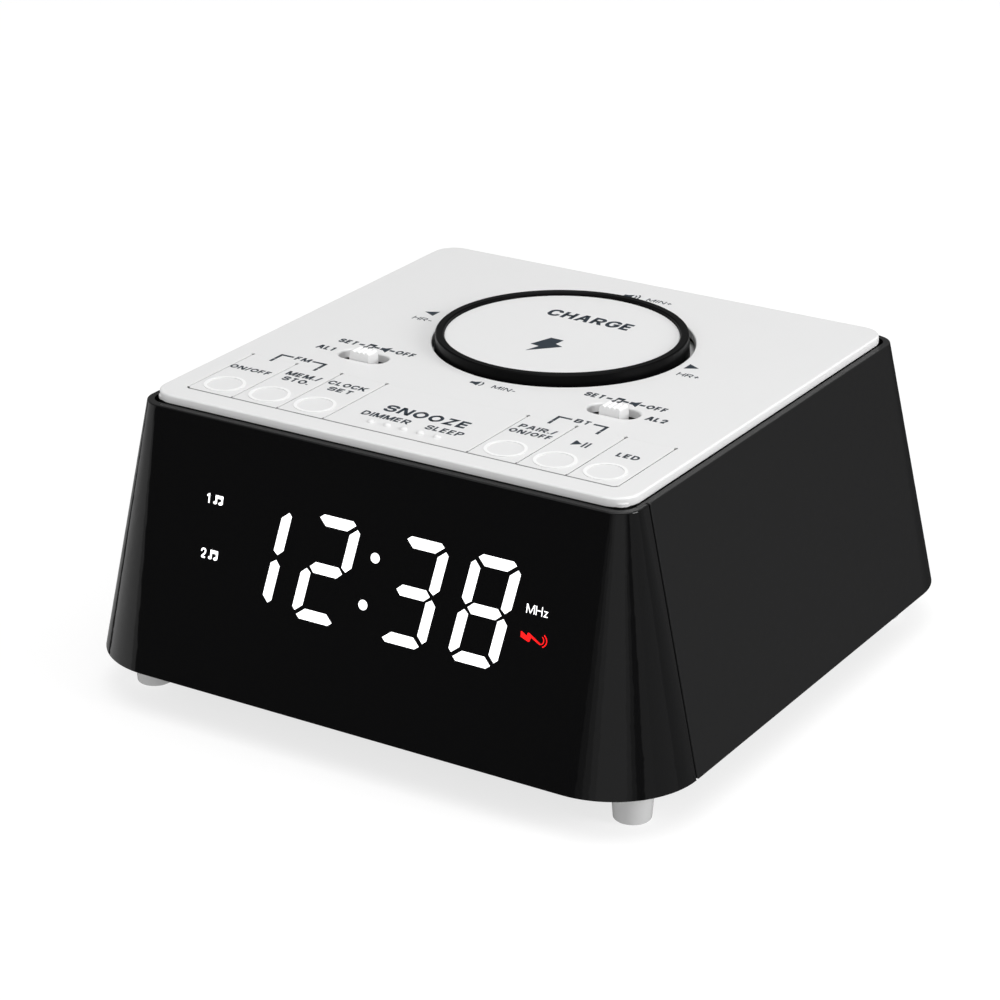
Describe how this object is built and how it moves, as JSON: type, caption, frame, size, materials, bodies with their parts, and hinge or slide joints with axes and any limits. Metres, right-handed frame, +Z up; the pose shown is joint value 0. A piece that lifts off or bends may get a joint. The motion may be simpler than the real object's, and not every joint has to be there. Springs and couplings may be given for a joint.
{
  "type": "clock radio",
  "caption": "Tapered square clock radio with a slanted LED display, hinged keys in the lid, slide switches and a rocking wireless charging pad.",
  "frame": {"origin": "on the floor under the centre of the square housing, at the bottoms of the feet", "axes": "+Z up, the display faces -Y, +X to the right seen from the front"},
  "size_m": [0.16, 0.1606, 0.0784],
  "materials": {
    "tinted_cover": "high gloss",
    "shell_black": "satin, fine moulded texture",
    "lid_white": "satin",
    "key_white": "satin",
    "knob_white": "satin",
    "pad_white": "satin",
    "ring_black": "semi gloss",
    "inner_black": "matte",
    "foot_rubber": "translucent grey",
    "steel": "zinc plated",
    "copper": "enamelled copper wire",
    "ferrite": "sintered ferrite",
    "board_green": "solder mask",
    "chip_black": "moulded epoxy",
    "segment_white": "milky light guide",
    "cone_paper": "pressed paper",
    "surround_rubber": "rolled rubber",
    "legend_ink": "printed ink",
    "display_light": "lit from behind",
    "charge_light": "lit from behind"
  },
  "bodies": {
    "housing": {"front_cover": "tinted_cover", "housing_shell": "shell_black", "base_plate": "shell_black", "cell_cover": "shell_black", "top_plate": "lid_white", "pad_frame": "inner_black", "display_case": "inner_black", "display_bracket": "inner_black", "cell_holder": "inner_black", "audio_jack": "inner_black", "dc_inlet": "inner_black", "foot_front_left": "foot_rubber", "foot_front_right": "foot_rubber", "foot_rear_left": "foot_rubber", "foot_rear_right": "foot_rubber", "frame_pins": "steel", "base_screws": "steel", "lid_screws": "steel", "key_board_screws": "steel", "pad_frame_screws": "steel", "display_screws": "steel", "board_screws": "steel", "speaker_screws": "steel", "usb_socket": "steel", "coin_cell": "steel", "slide_switch_left": "steel", "slide_switch_right": "steel", "speaker_frame": "steel", "speaker_magnet": "ferrite", "pad_board": "board_green", "key_board": "board_green", "display_board": "board_green", "main_board": "board_green", "charger_board": "board_green", "radio_module": "board_green", "pad_switches": "chip_black", "key_switches": "chip_black", "board_chips": "chip_black", "board_capacitors": "chip_black", "board_inductors": "chip_black", "display_segments": "segment_white", "speaker_cone": "cone_paper", "speaker_dust_cap": "cone_paper", "speaker_surround": "surround_rubber"},
    "gimbal": {"gimbal_ring": "inner_black"},
    "pad": {"pad_disc": "pad_white", "pad_ring": "ring_black", "ferrite_plate": "ferrite", "charging_coil": "copper", "pad_carrier": "pad_white", "pad_pins": "steel"},
    "left_knob": {"slide_knob_left": "knob_white"},
    "right_knob": {"slide_knob_right": "knob_white"},
    "power_key": {"key_power": "key_white"},
    "memory_key": {"key_memory": "key_white"},
    "clock_set_key": {"key_clock_set": "key_white"},
    "snooze_key": {"key_snooze": "key_white"},
    "pair_key": {"key_pair": "key_white"},
    "play_key": {"key_play": "key_white"},
    "light_key": {"key_light": "key_white"}
  },
  "joints": [
    {"name": "pad_tilt_front_back", "type": "hinge", "parent": "housing", "child": "gimbal", "pos_m": [0, 0.0163, 0.067], "axis": [1, 0, 0], "range_deg": [-2, 2], "stiffness_Nm_per_rad": 2.5},
    {"name": "pad_tilt_left_right", "type": "hinge", "parent": "gimbal", "child": "pad", "pos_m": [0, 0.0163, 0.067], "axis": [0, 1, 0], "range_deg": [-2, 2], "stiffness_Nm_per_rad": 2.5},
    {"name": "power_press", "type": "hinge", "parent": "housing", "child": "power_key", "pos_m": [-0.05185, -0.03152, 0.07597], "axis": [1, 0, 0], "range_deg": [0, 1.2], "stiffness_Nm_per_rad": 1.4},
    {"name": "memory_press", "type": "hinge", "parent": "housing", "child": "memory_key", "pos_m": [-0.03893, -0.03152, 0.07597], "axis": [1, 0, 0], "range_deg": [0, 1.2], "stiffness_Nm_per_rad": 1.4},
    {"name": "clock_set_press", "type": "hinge", "parent": "housing", "child": "clock_set_key", "pos_m": [-0.026, -0.03152, 0.07597], "axis": [1, 0, 0], "range_deg": [0, 1.2], "stiffness_Nm_per_rad": 1.4},
    {"name": "snooze_press", "type": "hinge", "parent": "housing", "child": "snooze_key", "pos_m": [0, -0.03152, 0.07597], "axis": [1, 0, 0], "range_deg": [0, 1.2], "stiffness_Nm_per_rad": 1.4},
    {"name": "pair_press", "type": "hinge", "parent": "housing", "child": "pair_key", "pos_m": [0.026, -0.03152, 0.07597], "axis": [1, 0, 0], "range_deg": [0, 1.2], "stiffness_Nm_per_rad": 1.4},
    {"name": "play_press", "type": "hinge", "parent": "housing", "child": "play_key", "pos_m": [0.03893, -0.03152, 0.07597], "axis": [1, 0, 0], "range_deg": [0, 1.2], "stiffness_Nm_per_rad": 1.4},
    {"name": "light_press", "type": "hinge", "parent": "housing", "child": "light_key", "pos_m": [0.05185, -0.03152, 0.07597], "axis": [1, 0, 0], "range_deg": [0, 1.2], "stiffness_Nm_per_rad": 1.4},
    {"name": "left_switch_slide", "type": "slide", "parent": "housing", "child": "left_knob", "axis": [1, 0, 0], "range_m": [-0.003, 0.003]},
    {"name": "right_switch_slide", "type": "slide", "parent": "housing", "child": "right_knob", "axis": [1, 0, 0], "range_m": [-0.003, 0.003]}
  ]
}
